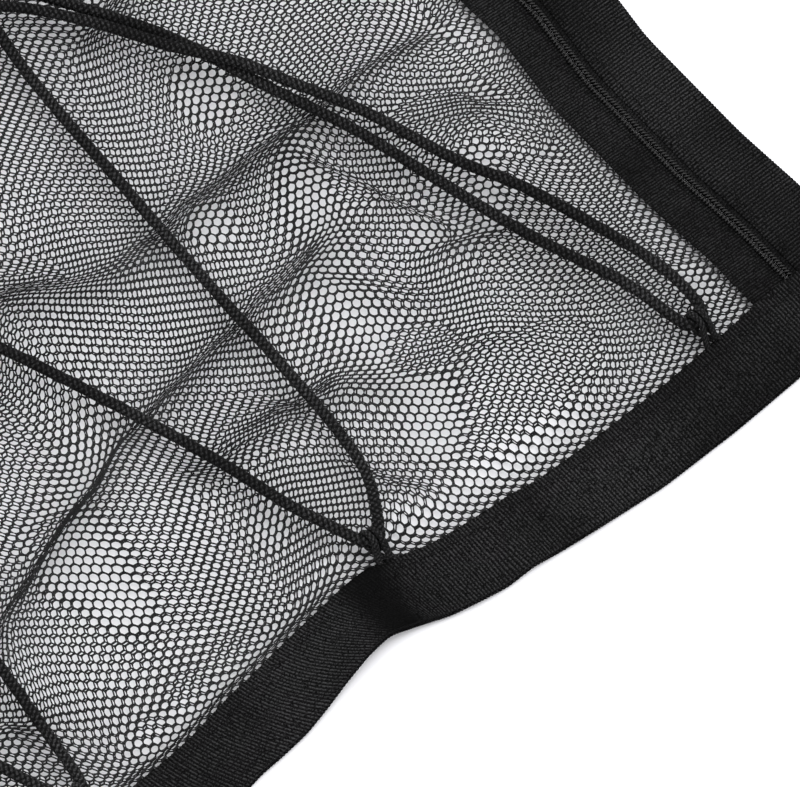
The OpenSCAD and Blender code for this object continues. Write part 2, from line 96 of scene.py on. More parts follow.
def floor_shape():
    """A square of cells just under the net."""
    u, v = np.meshgrid(*[np.linspace(0, 1, FLOOR_CELLS + 1)] * 2)
    i = np.arange(u.size).reshape(u.shape)
    quads = np.stack([i[:-1, :-1], i[:-1, 1:], i[1:, 1:], i[1:, :-1]], -1).reshape(-1, 4)
    u, v = u.ravel(), v.ravel()
    points = [(u - 0.5) * FLOOR_SIZE, (v - 0.5) * FLOOR_SIZE, np.full_like(u, FLOOR_Z)]
    return np.stack(points, -1), [quads]


def make_studio():
    scene.view_settings.view_transform = "Standard"
    world = bpy.data.worlds.new("studio")
    scene.world = world
    world.use_nodes = True
    background = world.node_tree.nodes["Background"]
    background.inputs["Color"].default_value = (1, 1, 1, 1)
    background.inputs["Strength"].default_value = SKY_POWER
    area_light("key", KEY_PLACE, KEY_SIZE, KEY_POWER)
    paper = surface("floor_paper", grey(0.88), grey(0.9), grain=60, rough=0.9, specular=0.1)
    piece("floor", *floor_shape(), paper)


# ---------- Meshes ----------


def piece(name, points, faces, material):
    """A mesh object from points in mm and a list of arrays of faces. Points may have a fourth
    number: how far the yarn stands out there, from 0 to 1, which the material shows as a painted
    highlight."""
    mesh = bpy.data.meshes.new(name)
    points = np.asarray(points, float)
    faces = [np.asarray(f, np.int32) for f in faces if len(f)]
    sizes = np.concatenate([np.full(len(f), f.shape[1], np.int32) for f in faces])
    corners = np.concatenate([f.ravel() for f in faces])
    mesh.vertices.add(len(points))
    mesh.vertices.foreach_set("co", (points[:, :3] * MM).astype(np.float32).ravel())
    if points.shape[1] == 4:
        rise = mesh.attributes.new("rise", "FLOAT", "POINT")
        rise.data.foreach_set("value", points[:, 3].astype(np.float32))
    mesh.loops.add(len(corners))
    mesh.loops.foreach_set("vertex_index", corners)
    mesh.polygons.add(len(sizes))
    mesh.polygons.foreach_set("loop_start", np.cumsum(sizes) - sizes)
    mesh.polygons.foreach_set("use_smooth", np.ones(len(sizes), bool))
    mesh.update(calc_edges=True)
    mesh.materials.append(material)
    made = bpy.data.objects.new(name, mesh)
    scene.collection.objects.link(made)
    return made


def part(name, shape, material, body="net", replaces=()):
    """A piece of the object, on its body and in its CAD nodes' place."""
    made = piece(name, *shape, material)
    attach(made, body)
    if replaces:
        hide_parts(*replaces)
    return made


def soft_part(name, shape, side, material, replaces=()):
    """A piece of the soft net, given as it lies at the near edge or the right side."""
    points, faces = turn_piece(shape, side)
    return part(name, (settle(points), faces), material, replaces=replaces)


def join(shapes):
    """Several (points, faces) as one."""
    points, faces, start = [], [], 0
    for p, f in shapes:
        points.append(p)
        faces += [np.asarray(x) + start for x in f]
        start += len(p)
    return np.concatenate(points), faces


def ring_faces(rings, around, closed=False):
    """Quads between rings of points, and a cap at each end unless the rings close."""
    i = np.arange(rings * around).reshape(rings, around)
    nxt = np.roll(i, -1, 1)
    a, b = (i, np.roll(i, -1, 0)) if closed else (i[:-1], i[1:])
    c, d = (nxt, np.roll(nxt, -1, 0)) if closed else (nxt[:-1], nxt[1:])
    quads = np.stack([a, c, d, b], -1).reshape(-1, 4)
    return [quads] if closed else [quads, i[:1, ::-1], i[-1:]]


def turned(points):
    """The points turned by 180 degrees about Z."""
    p = np.array(points, float)
    p[:, :2] *= -1
    return p


def moved(shape, offset):
    """A shape moved by that much."""
    p = np.array(shape[0])
    p[:, :3] += offset
    return p, shape[1]


def turn_piece(shape, side):
    """A near or right piece as it is, or as the far or left one: turned by 180 degrees."""
    return shape if side == 1 else (turned(shape[0]), shape[1])


def smooth_path(points, step, closed=False):
    """Even steps along a smooth curve through the points (centripetal Catmull-Rom)."""
    p = np.asarray(points, float)
    ends = (p[-1:], p[:2]) if closed else (2 * p[:1] - p[1:2], 2 * p[-1:] - p[-2:-1])
    p = np.concatenate([ends[0], p, ends[1]])
    gaps = np.sqrt(np.linalg.norm(np.diff(p, axis=0), axis=1))
    t = np.concatenate([[0], np.cumsum(np.maximum(gaps, 1e-6))])

    def between(start, end, x, first, last):
        gap = t[end] - t[start]
        return (t[end] - x) / gap * first + (x - t[start]) / gap * last

    found = []
    for i in range(1, len(p) - 2):
        x = np.linspace(t[i], t[i + 1], 24, endpoint=False)[:, None]
        a = [between(k, k + 1, x, p[k], p[k + 1]) for k in (i - 1, i, i + 1)]
        b = [between(i - 1, i + 1, x, a[0], a[1]), between(i, i + 2, x, a[1], a[2])]
        found.append(between(i, i + 1, x, b[0], b[1]))
    return resample(np.concatenate(found + [p[-2:-1]]), step)


def distances(line):
    """How far along a line each of its points is."""
    return np.concatenate([[0], np.cumsum(np.linalg.norm(np.diff(line, axis=0), axis=1))])


def resample(line, step):
    """Points at even steps along a line."""
    along = distances(line)
    places = np.linspace(0, along[-1], max(2, int(round(along[-1] / step)) + 1))
    return np.stack([np.interp(places, along, line[:, k]) for k in range(3)], -1)


def sides_of(path):
    """Two ways square to a path at each of its points, carried along without twist."""
    t = np.gradient(path, axis=0)
    t /= np.linalg.norm(t, axis=1)[:, None]
    u = np.zeros_like(t)
    u[0] = np.cross(t[0], (0, 0, 1) if abs(t[0][2]) < 0.9 else (1, 0, 0))
    u[0] /= np.linalg.norm(u[0])
    for i in range(1, len(t)):
        side = u[i - 1] - t[i] * (u[i - 1] @ t[i])
        u[i] = side / np.linalg.norm(side)
    return u, np.cross(t, u)


def tube(path, radius, around):
    """A tube along a path. radius is a number, or a function of the angle and the distance
    along that gives the radius and how far the yarn stands out."""
    u, v = sides_of(path)
    angle = np.arange(around) * 2 * np.pi / around
    r, rise = radius, 0.5
    if callable(radius):
        r, rise = radius(angle[None, :], distances(path)[:, None])
    r = np.broadcast_to(r, (len(path), around))[..., None]
    rise = np.broadcast_to(rise, (len(path), around))[..., None]
    ring = np.cos(angle)[None, :, None] * u[:, None] + np.sin(angle)[None, :, None] * v[:, None]
    points = np.concatenate([path[:, None] + r * ring, rise], -1)
    return points.reshape(-1, 4), ring_faces(len(path), around)


def smooth_step(x):
    """From 0 where x is 0 or less to 1 where it is 1 or more, without corners."""
    x = np.clip(x, 0, 1)
    return x * x * (3 - 2 * x)


# ---------- Materials ----------

BROAD_PATCHES, CLOUDY = 22.0, 0.25  # how many per metre, and how much they show
NOISE_DARK, NOISE_LIGHT = 0.35, 0.65  # where the noise gives the dark colour, and the light one
# The painted crest highlight comes in with the fine noise between these two values.
HIGHLIGHT_FROM, HIGHLIGHT_TO = 0.38, 0.62  # where the noise starts to show a crest, and shows it in full
GLOSS_SPREAD = 0.08
BUMP_DEPTH = 0.0002
# The sockets of a Mix node: its two values, its two colours, and the mixed colour
MIX_VALUES, MIX_COLOURS, MIXED_COLOUR = (2, 3), (6, 7), 2


def surface(name, dark, light, grain, rough, bump=0.0, specular=0.3, metal=0.0, crest_highlight=None):
    """A grained surface: fine noise of that many grains per metre, and broad soft patches.
    Where the mesh says that its yarn stands out, the colour goes over to crest_highlight, a painted
    highlight on the raised yarn."""
    material = bpy.data.materials.new(name)
    material.use_nodes = True
    nodes, links = material.node_tree.nodes, material.node_tree.links

    def add(kind, **values):
        node = nodes.new("ShaderNode" + kind)
        for key, value in values.items():
            node.inputs[key.replace("_", " ")].default_value = value
        return node

    shader = nodes["Principled BSDF"]
    shader.inputs["Specular IOR Level"].default_value = specular
    shader.inputs["Metallic"].default_value = metal
    place = nodes.new("ShaderNodeTexCoord")
    fine = add("TexNoise", Scale=grain, Detail=3.0)
    broad = add("TexNoise", Scale=BROAD_PATCHES, Detail=2.0)
    both = add("Mix", Factor=CLOUDY)
    colour = nodes.new("ShaderNodeValToRGB")
    ramp = colour.color_ramp.elements
    ramp[0].position, ramp[1].position = NOISE_DARK, NOISE_LIGHT
    ramp[0].color, ramp[1].color = (*dark, 1), (*light, 1)
    gloss = add("MapRange", To_Min=rough - GLOSS_SPREAD, To_Max=min(1.0, rough + GLOSS_SPREAD))
    for texture in (fine, broad):
        links.new(place.outputs["Object"], texture.inputs["Vector"])
    links.new(fine.outputs["Fac"], both.inputs[MIX_VALUES[0]])
    links.new(broad.outputs["Fac"], both.inputs[MIX_VALUES[1]])
    links.new(both.outputs[0], colour.inputs["Fac"])
    links.new(both.outputs[0], gloss.inputs["Value"])
    links.new(gloss.outputs["Result"], shader.inputs["Roughness"])
    paint = colour.outputs["Color"]
    # Painted highlight: raised yarn turns to crest_highlight, in dots from the fine noise and
    # stronger or weaker in broad patches, standing in for light on its crests.
    if crest_highlight:
        raised = nodes.new("ShaderNodeAttribute")
        raised.attribute_name = "rise"
        dots = add("MapRange", From_Min=HIGHLIGHT_FROM, From_Max=HIGHLIGHT_TO)
        patches = add("MapRange", From_Min=HIGHLIGHT_FROM, From_Max=HIGHLIGHT_TO, To_Min=0.6, To_Max=1.4)
        seen, share = nodes.new("ShaderNodeMath"), nodes.new("ShaderNodeMath")
        seen.operation = share.operation = "MULTIPLY"
        top = nodes.new("ShaderNodeMix")
        top.data_type = "RGBA"
        top.inputs[MIX_COLOURS[1]].default_value = (*crest_highlight, 1)
        links.new(fine.outputs["Fac"], dots.inputs["Value"])
        links.new(broad.outputs["Fac"], patches.inputs["Value"])
        links.new(patches.outputs["Result"], seen.inputs[0])
        links.new(dots.outputs["Result"], seen.inputs[1])
        links.new(raised.outputs["Fac"], share.inputs[0])
        links.new(seen.outputs[0], share.inputs[1])
        links.new(share.outputs[0], top.inputs[0])
        links.new(paint, top.inputs[MIX_COLOURS[0]])
        paint = top.outputs[MIXED_COLOUR]
    links.new(paint, shader.inputs["Base Color"])
    if bump:
        relief = add("Bump", Strength=bump, Distance=BUMP_DEPTH)
        links.new(fine.outputs["Fac"], relief.inputs["Height"])
        links.new(relief.outputs["Normal"], shader.inputs["Normal"])
    return material


def grey(value):
    """A very slightly cool grey."""
    return (value, value, value * 1.03)


# crest_highlight is a painted highlight on raised yarn: the crests of ribs, net ridges and braids.
webbing_cloth = surface("webbing_cloth", grey(0.0008), grey(0.0025), grain=1900, rough=0.85,
                        bump=0.5, specular=0.03, crest_highlight=grey(0.037))
mesh_yarn = surface("mesh_yarn", grey(0.004), grey(0.011), grain=2400, rough=0.8,
                    bump=0.3, specular=0.05, crest_highlight=grey(0.04))
tape_cloth = surface("tape_cloth", grey(0.001), grey(0.003), grain=2400, rough=0.85,
                     bump=0.5, specular=0.03, crest_highlight=grey(0.027))
coil_nylon = surface("coil_nylon", grey(0.0015), grey(0.0035), grain=900, rough=0.36,
                     bump=0.1, specular=0.33)
cord_yarn = surface("cord_yarn", grey(0.0008), grey(0.0018), grain=2600, rough=0.8,
                    bump=0.4, specular=0.04, crest_highlight=grey(0.07))
loop_yarn = surface("loop_yarn", grey(0.0008), grey(0.0018), grain=3000, rough=0.8,
                    bump=0.4, specular=0.04, crest_highlight=grey(0.09))
thread = surface("thread", grey(0.0015), grey(0.004), grain=3000, rough=0.8,
                 bump=0.2, specular=0.05)
moulded = surface("moulded", grey(0.004), grey(0.008), grain=2500, rough=0.42,
                  bump=0.35, specular=0.28)
lacquer = surface("lacquer", grey(0.012), grey(0.022), grain=1200, rough=0.3,
                  bump=0.1, specular=0.5, metal=0.6)
spring_wire = surface("spring_wire", grey(0.5), grey(0.62), grain=900, rough=0.28,
                      bump=0.05, specular=0.5, metal=1.0)

# ---------- Places, as in the CAD source ----------

HALF_L, HALF_W = 400.0, 275.0
BAND_W, BAND_T = 26.0, 1.2
BAND_EDGE_Y = HALF_W - BAND_W
STRAP_Y = BAND_EDGE_Y + BAND_W / 2
CHAIN_X = 375.8
TAPE_EDGE_X = 361.3
TAPE_Z, TAPE_T = 3.1, 0.5
COIL_Z, COIL_H = 3.6, 1.4
COIL_TOP_Y = BAND_EDGE_Y - 8
SIDE_BAND_EDGE_X = 379.4
FRONT_Z = 7.6
CORD_R, LOOP_R, LOOP_PLAY = 2.0, 1.1, 0.8
CORD_Z = FRONT_Z + CORD_R + 0.1
OVER_Z = CORD_Z + 2 * CORD_R + 0.1
ANCHOR_Y = BAND_EDGE_Y - 6.5
ANCHOR_Z = TAPE_Z + 2 * LOOP_R + LOOP_PLAY + CORD_R
TURN_R = 4.0  # of the lacing round an anchor
LEG_Y = ANCHOR_Y - TURN_R
SLOPE_Y = LEG_Y - 21
LOCK = (221.0, 56.0, 13.2)
STRAND_X = 2.15  # from the middle of a cord lock to each of its two strands
ANCHORS, FIRST_ANCHOR_X, ANCHOR_PITCH = 6, TAPE_EDGE_X - 18, 126.5


def anchor_x(k):
    return FIRST_ANCHOR_X - ANCHOR_PITCH * k


# ---------- How the soft net lies ----------

# How a long edge lies at each place along it: inward shift of its inner edge, further inward
# shift of its outer edge, lift of its outer edge, and how far its outer edge is dragged along it
EDGE_PLACES = (-400, -330, -262, -200, -120, -75, -20, 40, 80, 100, 120, 130, 140, 150, 160, 170,
               180, 190, 200, 210, 220, 230, 240, 250, 260, 270, 285, 300, 320, 330, 350, 375, 400)
EDGE_SHIFT = (0, -1, 3, -1, 0, 2.5, 0, -2, -3, -3, -2.3, -1.5, 0.2, 2, 3, 4.5,
              5.7, 6.8, 8, 8.2, 5.2, 2, 0.7, -0.3, -0.8, -2.5, -3, -3, -2.8, -2.3, -0.8, 0, 0)
EDGE_NARROW = (0, 0, 1, 0, 0, 1, 0, 0, 0, 0, 0.5, 1, 1.2, 0, 0, 0.5,
               1.4, 1.6, 2.2, 0.5, 0.2, 1, 1.1, 1.9, 1.4, 1.8, 1.2, 0, 0, -0.4, -0.8, 0, 0)
EDGE_LIFT = (0, 0.5, 5, 1, 1, 4, 1, 1, 1, 1, 0.8, 0.8, 0.8, 0.9, 1.2, 2.4,
             4.2, 6.4, 5.2, 2, 1, 1.8, 0.5, 1.6, 0.5, 1.1, 0.5, 0.5, 0.5, 0.5, 0.4, 0, 0)
EDGE_DRAG = (0, 0, -6, 2, 0, 5, 0, 0, 4, 6, 8, 9, 10, 11, 12, 12.5,
             13, 12.5, 9, 3.5, 0, 0, -1, 1.2, -0.6, 0.8, 0, 0, 0, 0, 0, 0, 0)
# How a short side waves in plan: place along it, outward shift
SIDE_PLACES = (-275, -227, -200, -155, -145, -135, -125, -110, -60, 20, 110, 190, 275)
SIDE_SHIFT = (0, 0, -1.8, -1.8, -0.5, 0.7, 2.0, 1.2, 0, -1.4, 0.8, 0, 0)
EVERY_MM = np.arange(-400, 401)
# From where the net follows the shift of its edge or side, and over how much it comes to do so
EDGE_PULL_Y, EDGE_PULL_W = 185, 62
SIDE_PULL_X, SIDE_PULL_W = 315, 45
STRAPS_X = HALF_L + 2  # the straps beyond it keep still


def softened(places, values, window):
    """A table of the values at every mm, with its corners rounded off."""
    spare = 30
    line = np.interp(np.arange(-400 - spare, 401 + spare), places, values)
    weight = np.hanning(window + 2)[1:-1]
    return np.convolve(line, weight / weight.sum(), "same")[spare:-spare]


edge_shift, edge_narrow, edge_lift, edge_drag = [
    softened(EDGE_PLACES, values, 9) for values in (EDGE_SHIFT, EDGE_NARROW, EDGE_LIFT, EDGE_DRAG)]
side_shift = softened(SIDE_PLACES, SIDE_SHIFT, 15)


def settle(points):
    """Moves flat places on the soft net to where they lie on its waving edges."""
    p = np.array(points, float)
    for side in (1, -1):
        along, edge = side * p[:, 0], -side * p[:, 1]
        outer = np.clip((edge - BAND_EDGE_Y) / BAND_W, 0, 1)
        along = along + np.interp(along, EVERY_MM, edge_drag) * outer**1.4
        p[:, 0] = side * along
        lift = np.interp(along, EVERY_MM, edge_lift) * outer**1.3
        drawn = BAND_W - np.sqrt(BAND_W**2 - lift**2)
        pull = smooth_step((edge - EDGE_PULL_Y) / EDGE_PULL_W)
        shift = np.interp(along, EVERY_MM, edge_shift) * pull
        shift += np.interp(along, EVERY_MM, edge_narrow) * outer
        p[:, 1] += side * (shift + drawn)
        p[:, 2] += lift
        along, across = side * p[:, 1], side * p[:, 0]
        pull = smooth_step((across - SIDE_PULL_X) / SIDE_PULL_W)
        shift = np.interp(along, EVERY_MM, side_shift) * pull
        p[:, 0] += side * shift * smooth_step(STRAPS_X - across)
    return p


# ---------- Cords ----------

CORD_STEP = 0.37
KNOT_SIZE, KNOT_CORD_R = 3.2, 1.75


def round_anchor(x, first=-10, last=-170):
    """The lacing's bend in a near anchor loop, from one of these angles to the other."""
    a = np.radians(np.linspace(first, last, 5))
    return [[x + TURN_R * math.cos(k), -LEG_Y + TURN_R * math.sin(k), ANCHOR_Z] for k in a]


def near_turn(x):
    """Lacing round a near anchor, from the leg on its +X side to the other."""
    return [[x + TURN_R + 3, -SLOPE_Y, CORD_Z], *round_anchor(x),
            [x - TURN_R - 9, -SLOPE_Y, CORD_Z]]


def turned_back(points):
    """The points turned by 180 degrees about Z, last one first."""
    return [list(p) for p in turned(points)][::-1]


def far_turn(x):
    """Lacing round a far anchor, from the leg on its +X side to the other."""
    return turned_back(near_turn(-x))


def through_lock(x):
    """Straight through the cord lock, as far as the lock slides."""
    return [[LOCK[0] + x, LOCK[1] + y, LOCK[2]] for y in (24, 19, -19, -24)]


# Each lacing cord is unchanged by a half turn, so this is half of its route. The locked one is
# doubled back through a cord lock and round the corner's anchor.
LOCKED_HALF = [
    [238, 128, 11.6], [235, 120, 11.8], [231, 112, 11.2], [227, 95, 11],
    *through_lock(STRAND_X),
    [229, 17, 13.6], [249, -8, OVER_Z], [264.5, -30.5, 12], [282.5, -60.5, 9.9],
    [293, -90, CORD_Z], [305.5, -124, CORD_Z], [313, -152.5, CORD_Z],
    [322.5, -187, CORD_Z], [334, -SLOPE_Y, CORD_Z],
    *round_anchor(anchor_x(0) - 0.5, -170, -10),
    [346, -SLOPE_Y, CORD_Z], [333.5, -175, CORD_Z], [322.5, -152, CORD_Z],
    [311, -119.5, 10.5], [300, -98.5, 12.5], [291.5, -82.5, OVER_Z], [280.5, -67, 14],
    [266.5, -43.5, 14], [254.5, -26.5, OVER_Z], [239, -10, OVER_Z], [223, 14, 13.6],
    *through_lock(-STRAND_X)[::-1],
    [206, 110, 10.2], *far_turn(-anchor_x(4)),
    [136, 30, CORD_Z], [130, 8, OVER_Z], [126, -8, OVER_Z], [119, -30, CORD_Z],
    [100, -199.5, CORD_Z], *near_turn(anchor_x(2)), [12, -32, CORD_Z], [3, -8, OVER_Z],
]
KNOT_X = -anchor_x(5)  # the far anchor that the other cord is knotted at
KNOTTED_HALF = [
    [KNOT_X + 12, ANCHOR_Y - 1, ANCHOR_Z], [KNOT_X + 9, ANCHOR_Y, ANCHOR_Z],
    [KNOT_X + 6, ANCHOR_Y, ANCHOR_Z], [KNOT_X + 3, ANCHOR_Y, ANCHOR_Z],
    [KNOT_X - 3, ANCHOR_Y, ANCHOR_Z], [KNOT_X - 7, ANCHOR_Y - 4.5, ANCHOR_Z],
    [KNOT_X - 9.5, SLOPE_Y, CORD_Z],
    [246, -8, CORD_Z], [240.5, -42.5, CORD_Z], [237.5, -93, CORD_Z], [235, -146, CORD_Z],
    [234.5, -166.5, CORD_Z], [230, -SLOPE_Y, CORD_Z],
    *round_anchor(anchor_x(1)),
    [205, -SLOPE_Y, CORD_Z], [198, -187, CORD_Z], [180.5, -134, CORD_Z], [128, 0, CORD_Z],
    *far_turn(-anchor_x(3)), [4, 26, CORD_Z],
]


def whole_route(half):
    return np.array(half + turned_back(half), float)


def braid(radius, carriers, pitch, relief):
    """A braided cord's radius and rise: two families of yarns, each over one and under one."""

    def crown(across, along):
        return np.cos(across * np.pi) * (0.75 + 0.25 * np.cos(along * np.pi))

    def at(angle, along):
        turn = angle / (2 * np.pi) * carriers
        a, b = turn + along / pitch, turn - along / pitch
        over = (np.floor(a) + np.floor(b)) % 2 < 1
        fa, fb = a - np.floor(a) - 0.5, b - np.floor(b) - 0.5
        rise = np.where(over, crown(fa, fb), crown(fb, fa))
        # rise**4 keeps the painted highlight to the tops of the yarns.
        return radius - relief + relief * rise, rise**4

    return at


def knot(centre, across):
    """An overhand knot pulled tight: a small trefoil of the same cord."""
    around = 12
    t = np.linspace(0, 2 * np.pi, 90, endpoint=False)
    ring = 2 + np.cos(3 * t)
    curl = np.stack([ring * np.cos(2 * t), ring * np.sin(2 * t), 1.35 * np.sin(3 * t)], -1) / 3
    side = np.cross((0, 0, 1), across)
    squeeze = np.stack([np.array(across) * 1.0, side * 0.8, np.array([0, 0, 0.85])])
    yarns = braid(KNOT_CORD_R, carriers=8, pitch=1.6, relief=0.25)
    points, faces = tube(np.array(centre) + (curl * KNOT_SIZE) @ squeeze, yarns, around)
    i = np.arange(len(points)).reshape(-1, around)
    seam = np.stack([i[-1], np.roll(i[-1], -1), np.roll(i[0], -1), i[0]], -1)
    return points, [faces[0], seam]


def make_lacing():
    around = 20
    for name, half, centre, across in (
        ("locked_lacing", LOCKED_HALF, (235, 120, 12.0), (0.35, 0.94, 0)),
        ("knotted_lacing", KNOTTED_HALF, (KNOT_X + 8.5, ANCHOR_Y, ANCHOR_Z + 0.2), (1, 0, 0)),
    ):
        route = settle(smooth_path(whole_route(half), CORD_STEP))
        middle = len(route) // 2
        yarns = braid(CORD_R - 0.06, carriers=4, pitch=1.9, relief=0.5)
        rings = tube(route, yarns, around)[0].reshape(-1, around, 4)
        for end, stretch in (("right", rings[:middle + 1]), ("left", rings[middle:])):
            part(f"{name}_{end}", (stretch.reshape(-1, 4), ring_faces(len(stretch), around)),
                 cord_yarn, replaces=[name + "_cord"])
        for side, tail in ((1, "first"), (-1, "last")):
            points, faces = knot(np.array(centre) * (side, side, 1), across)
            part(f"{name}_{tail}_knot", (settle(points), faces), cord_yarn)


def anchor_loop(x):
    """Thin cord out from under the band's edge, twice over the lacing and back under the band."""
    radius = CORD_R + LOOP_R + 0.35
    angles = np.radians((128, 90, 60, 30, 0, -30, -60, -95))
    edge, hidden = -BAND_EDGE_Y - 0.2, -BAND_EDGE_Y - 6
    path = [[x - 2.6, hidden, TAPE_Z - 0.7], [x - 2.4, edge, TAPE_Z + 0.2]]
    for strand in (-1.2, 1.2):
        path += [[x + strand * (1.3 - 0.3 * math.sin(a)), -ANCHOR_Y + radius * math.cos(a),
                  ANCHOR_Z + radius * math.sin(a)] for a in angles]
        if strand < 0:
            path.append([x + 0.7, -BAND_EDGE_Y + 0.5, TAPE_Z + 1.0])
    path += [[x + 2.2, edge, TAPE_Z], [x + 2.6, hidden, TAPE_Z - 0.7]]
    yarns = braid(LOOP_R, carriers=4, pitch=1.5, relief=0.26)
    return tube(smooth_path(np.array(path), 0.3), yarns, 14)


def make_anchor_loops():
    loops = join([anchor_loop(anchor_x(k)) for k in range(ANCHORS)])
    for name, side in EDGES.items():
        soft_part(f"{name}_anchor_loops", loops, side, loop_yarn,
                  replaces=[f"{name}_cord_loops"])


# ---------- Mesh layers ----------

HOLE_PITCH = 2.9
HOLE_LONG, HOLE_SHORT = 1.33, 1.115  # a hole's half sizes along X and Y
COLUMN_STEP = HOLE_PITCH * math.cos(math.pi / 6)
YARN_RISE = 0.2
FRONT_HALF_X, BACK_HALF_X, NET_HALF_Y = 366, 386, 252  # as cut, with what is sewn under
NET_TILES = 6
# Folds where cloth is gathered up: their height, and places along them with the fold's width and
# the share of its cloth that is drawn in there; above 1.16 it doubles back
FOLDS = (
    (4.0, (104, -187, 9, 1.5), (147, -171, 12, 1.6), (193, -158, 8, 1.4), (234, -152, 9, 1.15),
     (262, -152, 9, 1.1), (284, -152, 9, 0.4)),
    (3.5, (172, -94, 11, 1.2), (190, -99, 11, 1.2), (214, -108, 9, 0.8), (246, -105, 11, 1.2),
     (284, -110, 9, 1.15), (314, -109, 5, 1.2), (352, -107, 5, 1.1)),
    (4.0, (183, -187, 5, 0.6), (216, -190, 10, 0.95), (240, -193, 9, 1.0), (262, -203, 9, 0.55),
     (284, -206, 9, 0.3), (306, -219, 8, 0.1)),
    (1.5, (288, -127, 4, 1.1), (298, -148, 4, 1.1), (308, -168, 4, 1.1)),
    (1.5, (297, -172, 4, 1.1), (304, -176, 4, 1.1), (314, -180, 4, 1.1)),
    (1.5, (262, -160, 4, 0.5), (270, -171, 4, 0.5), (288, -186, 4, 0.5)),
    (1.0, (320, -128, 7, 0.5), (335, -137, 9, 0.75), (349, -145, 8, 0.5)),
    (1.0, (226, -217, 3, 1.0), (234, -229, 3, 1.0), (245, -240, 3, 1.0)),
    (4.0, (20, -108, 7, 1.1), (90, -122, 8, 1.1), (160, -118, 6, 0.9)),
    (3.5, (-60, -205, 7, 1.0), (20, -196, 7, 1.1), (100, -214, 6, 0.8)),
    (4.0, (262, -40, 7, 1.0), (300, -34, 8, 1.1), (350, -30, 6, 1.0)),
    (4.0, (60, -52, 7, 1.1), (120, -44, 7, 1.1), (190, -60, 7, 0.9)),
    (3.5, (292, 60, 6, 0.9), (320, 95, 8, 1.1), (345, 160, 6, 1.0)),
    (4.0, (150, 120, 7, 1.1), (210, 140, 8, 1.1), (300, 135, 6, 1.0)),
    (4.0, (40, 60, 7, 1.0), (90, 70, 8, 1.1), (160, 60, 6, 0.8)),
    (4.0, (20, 170, 7, 1.1), (90, 150, 8, 1.1), (190, 190, 6, 0.9)),
)
# How far cloth is crowded against a long edge, at places along it
CROWD_PLACES = (-400, -180, -120, -60, 20, 90, 120, 185, 205, 240, 280, 330, 400)
CROWD = (0, 0, 6, 0, 0, 5, 12, 13, 4, 0, 2, 3, 0)
CROWD_DEPTH, CROWD_REACH = 13, 60  # how deep the crowded strip is, and how far in cloth moves
GATHER = 0.86  # the part of its cloth that a fold draws in where its share is 1
FOLD_REACH, FOLD_END = 55, 12  # how far to each side a fold draws cloth, and how far it fades
# The slope of the camera's view from the vertical, and its way in plan
VIEW_SLOPE, VIEW_WAY = 0.534, (0.6481, 0.7601)
BACK_REACH_X = 384  # where the back layer is sewn down
FRONT_SEWN_Z, FRONT_RISE = 2.8, 3.6  # the front layer at its border, and how much higher inside
BACK_SEWN_Z = 1.45
CORD_HOLD, CORD_HOLD_FADE = 2.5, 9  # how near the lacing holds it down, and how that fades
SWAY = 1.6  # how far slow waves carry both layers sideways
LAYER_DRIFT = 3.2  # how far the two layers' holes drift apart in plan
HALF_HOLE = (0.9, 1.3)  # the shift that puts them out of step
# Places where the two layers' holes lie behind each other, or half a hole apart, and how far
# that reaches
IN_STEP = ((279, -78, 14), (248, -120, 9), (299, -167, 8), (255, -224, 9), (146, -190, 17),
           (146, -206, 10), (356, -228, 9), (118, -140, 14), (196, -216, 9))
OUT_OF_STEP = ((286, -226, 17), (306, -222, 12), (212, -187, 15), (124, -241, 9), (142, -239, 9),
               (160, -238, 9), (330, -138, 14), (347, -154, 11), (192, -91, 11), (291, -143, 9),
               (268, -237, 10), (284, -241, 9), (224, -197, 11), (272, -199, 11), (141, -163, 10))


def waves(x, y, seed, size):
    """Soft random waves from -1 to 1, about that long in mm."""
    rng, count = np.random.default_rng(seed), 5
    total = np.zeros_like(x)
    for _ in range(count):
        way, phase = rng.uniform(0, np.pi), rng.uniform(0, 2 * np.pi)
        length = size * rng.uniform(0.7, 1.5)
        total += np.sin((x * math.cos(way) + y * math.sin(way)) * 2 * np.pi / length + phase)
    return total / count


def near_spots(x, y, spots):
    """From 1 at these places to 0 away from them."""
    away = np.ones_like(x)
    for sx, sy, reach in spots:
        away *= 1 - np.exp(-((np.hypot(x - sx, y - sy) / reach) ** 4))
    return 1 - away


def gathered(x, y):
    """How folds move flat cloth: towards their lines in plan, and up."""
    dx, dy, height = np.zeros_like(x), np.zeros_like(x), np.zeros_like(x)
    for lift, *places in FOLDS:
        for side in (1, -1):
            at = np.array(places, float) * (side, side, 1, 1)
            start, chord = at[0, :2], at[-1, :2] - at[0, :2]
            length = np.linalg.norm(chord)
            along = chord / length
            turn = np.stack([along, (-along[1], along[0])], 1)
            line = (smooth_path(at[:, :3] * (1, 1, 0), 2.0)[:, :2] - start) @ turn
            marks = (at[:, :2] - start) @ along / length
            t = ((x - start[0]) * along[0] + (y - start[1]) * along[1]) / length
            off = (y - start[1]) * along[0] - (x - start[0]) * along[1]
            off = off - np.interp(t, line[:, 0] / length, line[:, 1])
            width, share = np.interp(t, marks, at[:, 2]), np.interp(t, marks, at[:, 3])
            fade = FOLD_END / length
            run = smooth_step((t + fade) / (2 * fade)) * smooth_step((1 + fade - t) / (2 * fade))
            near = np.abs(off / width)
            drawn = (GATHER * share * run * off / (1 + near**3) ** (1 / 3)
                     * np.exp(-((off / FOLD_REACH) ** 2)))
            dx += drawn * along[1]
            dy -= drawn * along[0]
            height = np.maximum(height, lift * run * np.exp(-((off / (1.3 * width)) ** 2)))
    return dx, dy, height


